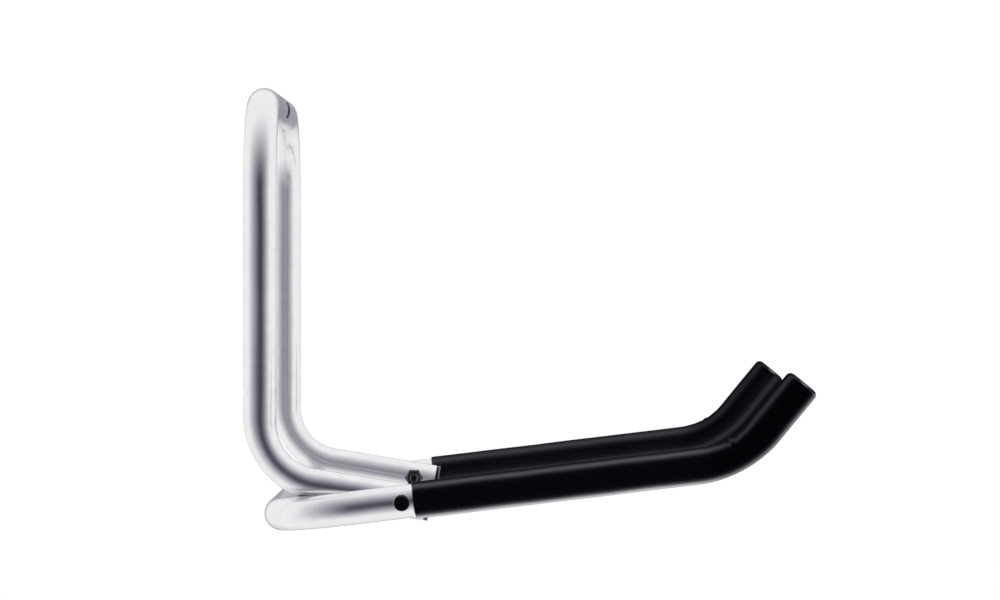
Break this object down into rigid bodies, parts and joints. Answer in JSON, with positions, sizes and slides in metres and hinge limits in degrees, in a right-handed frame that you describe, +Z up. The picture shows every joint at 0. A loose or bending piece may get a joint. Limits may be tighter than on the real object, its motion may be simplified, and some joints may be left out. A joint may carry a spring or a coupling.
{
  "type": "bike wall hanger",
  "caption": "Folding wall hanger for bicycles: a bent tube frame on the wall carries a wide tube arm with soft sleeves that folds up against it.",
  "frame": {"origin": "on the wall, midway between the two legs, level with the pivot screws", "axes": "+X out of the wall, +Y along the wall to the right of someone who faces it, +Z up"},
  "size_m": [0.4306, 0.4696, 0.3362],
  "materials": {
    "satin_aluminium": "drawn and satin anodised, with long soft reflections",
    "soft_sleeve": "black soft vinyl with a low sheen",
    "plug_plastic": "black moulded plastic",
    "black_steel": "black oxide on steel",
    "zinc_steel": "zinc plated",
    "black_nylon": "black nylon"
  },
  "bodies": {
    "wall_frame": {"wall_frame": "satin_aluminium", "leg_plug_left": "plug_plastic", "leg_plug_right": "plug_plastic", "pivot_screw_left": "black_steel", "pivot_screw_right": "black_steel", "head_washer_left": "zinc_steel", "head_washer_right": "zinc_steel", "spacer_washer_left": "black_nylon", "spacer_washer_right": "black_nylon", "nut_washer_left": "zinc_steel", "nut_washer_right": "zinc_steel", "lock_nut_left": "black_steel", "lock_nut_right": "black_steel", "nut_insert_left": "black_nylon", "nut_insert_right": "black_nylon", "frame_bush_left": "zinc_steel", "frame_bush_right": "zinc_steel"},
    "arm": {"carrying_arm": "satin_aluminium", "grip_sleeve_left": "soft_sleeve", "grip_sleeve_right": "soft_sleeve", "arm_bush_left": "zinc_steel", "arm_bush_right": "zinc_steel"}
  },
  "joints": [
    {"name": "arm_fold", "type": "hinge", "parent": "wall_frame", "child": "arm", "pos_m": [0.1203, 0, 0], "axis": [0, -1, 0], "range_deg": [0, 93]}
  ]
}
